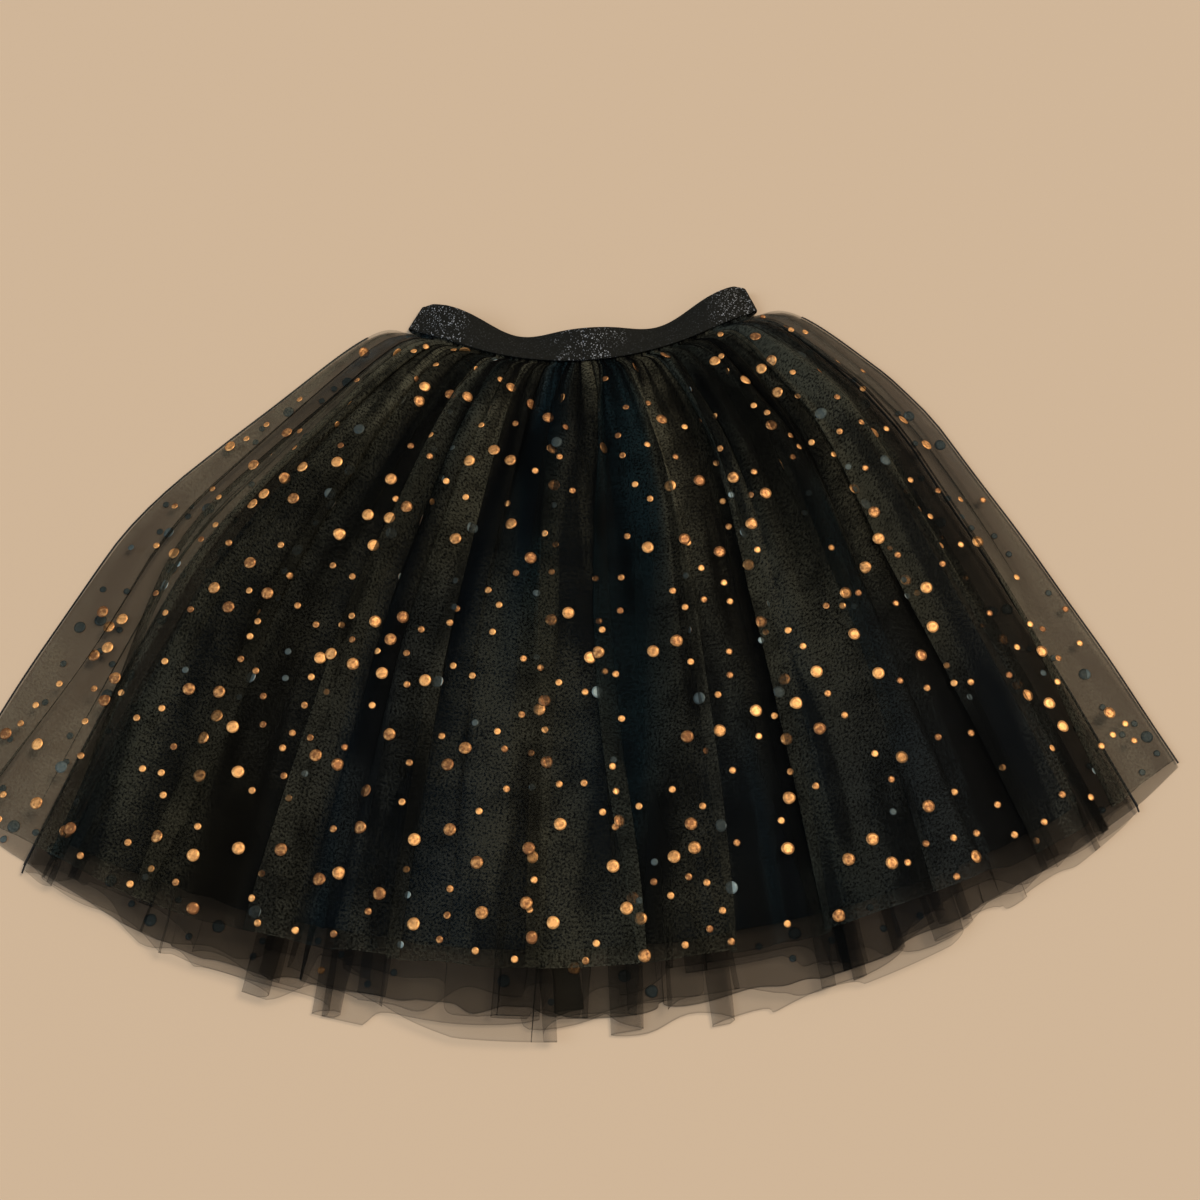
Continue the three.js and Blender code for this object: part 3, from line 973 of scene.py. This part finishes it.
def foil_material():
    """Copper foil, finely crinkled, with painted reflections: dull brown to bright orange dot by dot, as each
    dot would catch the light, and painted highlights and shade in its crinkles.
    """
    material, add = node_material("copper_foil")
    place = add("ShaderNodeTexCoord").outputs["Object"]
    crinkle = add("ShaderNodeTexNoise", Vector=place, Scale=420.0, Detail=3.0).outputs[0]
    # Painted highlights and shade in the fine crinkles, added to each dot's brightness.
    crinkle_shine = remap(add, crinkle, 0.35, 0.65, -0.4, 0.3)
    # Painted reflection: each dot is duller or brighter, as it would catch the light.
    catchlight = add("ShaderNodeMath", "ADD", i0=attribute(add, "catchlight"), i1=crinkle_shine)
    catchlight.use_clamp = True
    color = blend_colors(add, catchlight.outputs[0], (0.24, 0.10, 0.035, 1), (1.0, 0.50, 0.17, 1))
    dents = bump(add, crinkle, 0.4, 0.0004)
    return complete(material, add, Base_Color=color, Metallic=0.75, Roughness=0.5, Normal=dents)


def reverse_material():
    """The grey glue side of the foil, seen through the net."""
    material, add = node_material("foil_reverse")
    place = add("ShaderNodeTexCoord").outputs["Object"]
    mottle = add("ShaderNodeTexNoise", Vector=place, Scale=500.0).outputs[0]
    color = blend_colors(add, mottle, (0.10, 0.15, 0.15, 1), (0.26, 0.33, 0.33, 1))
    return complete(material, add, Base_Color=color, Metallic=0.3, Roughness=0.5)


def elastic_material():
    """Ribbed black elastic with silver specks, whose glints are painted into its colour where the ripple
    turns the band to the light.
    """
    material, add = node_material("glitter_elastic")
    specks = add("ShaderNodeTexVoronoi", Vector=cloth_uv(add, 1 / SPECK_PITCH), Scale=1.0)
    specks.voronoi_dimensions = "2D"
    chance = add("ShaderNodeSeparateXYZ", Vector=specks.outputs["Color"])
    shiny = remap(add, chance.outputs["X"], 0.88, 0.92, 0.0, 1.0)
    place = add("ShaderNodeSeparateXYZ", Vector=add("ShaderNodeTexCoord").outputs["Object"])
    turns = 2 * math.pi / (BAND["ripple"] * MM)
    phase = compute(add, "MULTIPLY_ADD", place.outputs["X"], turns, -turns * BAND["shift"] * MM)
    lean = compute(add, "MULTIPLY_ADD", noise(add, 1 / 90, 1.0), 2.4, compute(add, "COSINE", phase))
    facing = remap(add, lean, 1.4, 2.3, 0.06, 1.0)
    # Painted glints: the silver specks show only where the band faces the light, and stay near black
    # elsewhere.
    glint = compute(add, "MULTIPLY", chance.outputs["Y"], facing)
    glint = compute(add, "MULTIPLY", glint, shiny)
    color = blend_colors(add, glint, (0.011, 0.011, 0.009, 1), (0.42, 0.44, 0.46, 1))
    return complete(material, add, Base_Color=color, Roughness=0.7, Specular_IOR_Level=0.04)


def thread_material():
    """Matt black thread with a fine twist."""
    material, add = node_material("thread")
    twist = add("ShaderNodeTexWave", Vector=cloth_uv(add, 1 / 0.0006), Scale=1.0, Distortion=1.5).outputs[1]
    color = blend_colors(add, twist, (0.006, 0.006, 0.006, 1), (0.016, 0.015, 0.014, 1))
    return complete(material, add, Base_Color=color, Roughness=0.8, Normal=bump(add, twist, 0.5))


def satin_material():
    """Blank white satin ribbon."""
    material, add = node_material("label_satin")
    weave = add("ShaderNodeTexWave", Vector=cloth_uv(add, 1 / 0.0004), Scale=1.0).outputs[1]
    color = blend_colors(add, weave, (0.66, 0.64, 0.60, 1), (0.78, 0.76, 0.72, 1))
    return complete(material, add, Base_Color=color, Roughness=0.35, Normal=bump(add, weave, 0.2))


MATERIALS = {
    # Each net: the share of light through one layer, then its painted warm highlight colour and its painted
    # cool reflection colour.
    "dotted_tulle": tulle_material("dotted_tulle", 0.65, (0.095, 0.088, 0.056, 1), (0.013, 0.027, 0.029, 1)),
    "plain_tulle": tulle_material("plain_tulle", 0.8, (0.014, 0.012, 0.008, 1), (0.002, 0.007, 0.010, 1)),
    "lining": lining_material(),
    "copper_foil": foil_material(),
    "foil_reverse": reverse_material(),
    "glitter_elastic": elastic_material(),
    "thread": thread_material(),
    "label_satin": satin_material(),
}


def build_skirt():
    """Makes every piece of the skirt."""
    for name, spec in PANELS.items():
        panel = build_panel(name, spec)
        add_panel(name, panel)
        if name.startswith("overskirt"):
            add_foil(name, panel)
    for tube_name in ("overskirt", "underskirt_outer", "underskirt_inner", "lining"):
        for side in SIDES:
            add_side_seam(tube_name, side)
    add_waistband()
    add_waist_seams()
    add_care_label()


# ---- Stage ----

FLOOR_REACH = 20000
FLOOR_LEVEL = -0.05
CAMERA = {"place": (0.0127, -0.5697, 0.9706), "tilt": 21.9, "lens": 45, "sensor": 36}  # the place in metres


def add_floor():
    """A plain pale floor that reaches far past the skirt."""
    material, add = node_material("floor")
    complete(material, add, Base_Color=(0.62, 0.47, 0.325, 1), Roughness=0.9)
    turns = ((-1, -1), (1, -1), (1, 1), (-1, 1))
    corners = [(x * FLOOR_REACH, y * FLOOR_REACH, FLOOR_LEVEL) for x, y in turns]
    floor = mesh_object("floor", corners, [(0, 1, 2, 3)])
    floor.data.materials.append(material)


def add_light(name, toward, spread, strength, color):
    """A distant soft light. toward is the direction to it, and spread the angle it fills, in degrees."""
    light = bpy.data.lights.new(name, "SUN")
    light.angle, light.energy, light.color = math.radians(spread), strength, color
    lamp = bpy.data.objects.new(name, light)
    lamp.rotation_euler = Vector(toward).to_track_quat("Z", "Y").to_euler()
    bpy.context.scene.collection.objects.link(lamp)


def add_camera():
    """Looks down on the skirt from over its hem."""
    lens = bpy.data.cameras.new("camera")
    lens.lens, lens.sensor_width = CAMERA["lens"], CAMERA["sensor"]
    camera = bpy.data.objects.new("camera", lens)
    camera.location = CAMERA["place"]
    camera.rotation_euler = (math.radians(CAMERA["tilt"]), 0, 0)
    bpy.context.scene.collection.objects.link(camera)
    bpy.context.scene.camera = camera


def set_world():
    """Even studio light, with a plain backdrop of the floor's colour behind it."""
    world = bpy.data.worlds.new("studio")
    world.use_nodes = True
    tree = world.node_tree
    light = tree.nodes["Background"]
    light.inputs["Color"].default_value = (0.9, 0.93, 1.0, 1)
    light.inputs["Strength"].default_value = 0.28
    backdrop = tree.nodes.new("ShaderNodeBackground")
    backdrop.inputs["Color"].default_value = (0.62, 0.50, 0.37, 1)
    mix = tree.nodes.new("ShaderNodeMixShader")
    tree.links.new(tree.nodes.new("ShaderNodeLightPath").outputs["Is Camera Ray"], mix.inputs[0])
    tree.links.new(light.outputs[0], mix.inputs[1])
    tree.links.new(backdrop.outputs[0], mix.inputs[2])
    tree.links.new(mix.outputs[0], tree.nodes["World Output"].inputs["Surface"])
    bpy.context.scene.world = world
    bpy.context.scene.view_settings.view_transform = "Standard"
    bpy.context.scene.cycles.transparent_max_bounces = 48


build_skirt()
add_floor()
add_light("key", (2.0, 1.3, 3.0), 27, 1.96, (1.0, 0.87, 0.72))
add_light("fill", (-2.6, -0.3, 1.9), 34, 0.97, (0.64, 0.82, 1.0))
add_light("ceiling", (0.15, -0.5, 2.4), 12, 0.49, (1.0, 0.92, 0.82))
set_world()
add_camera()
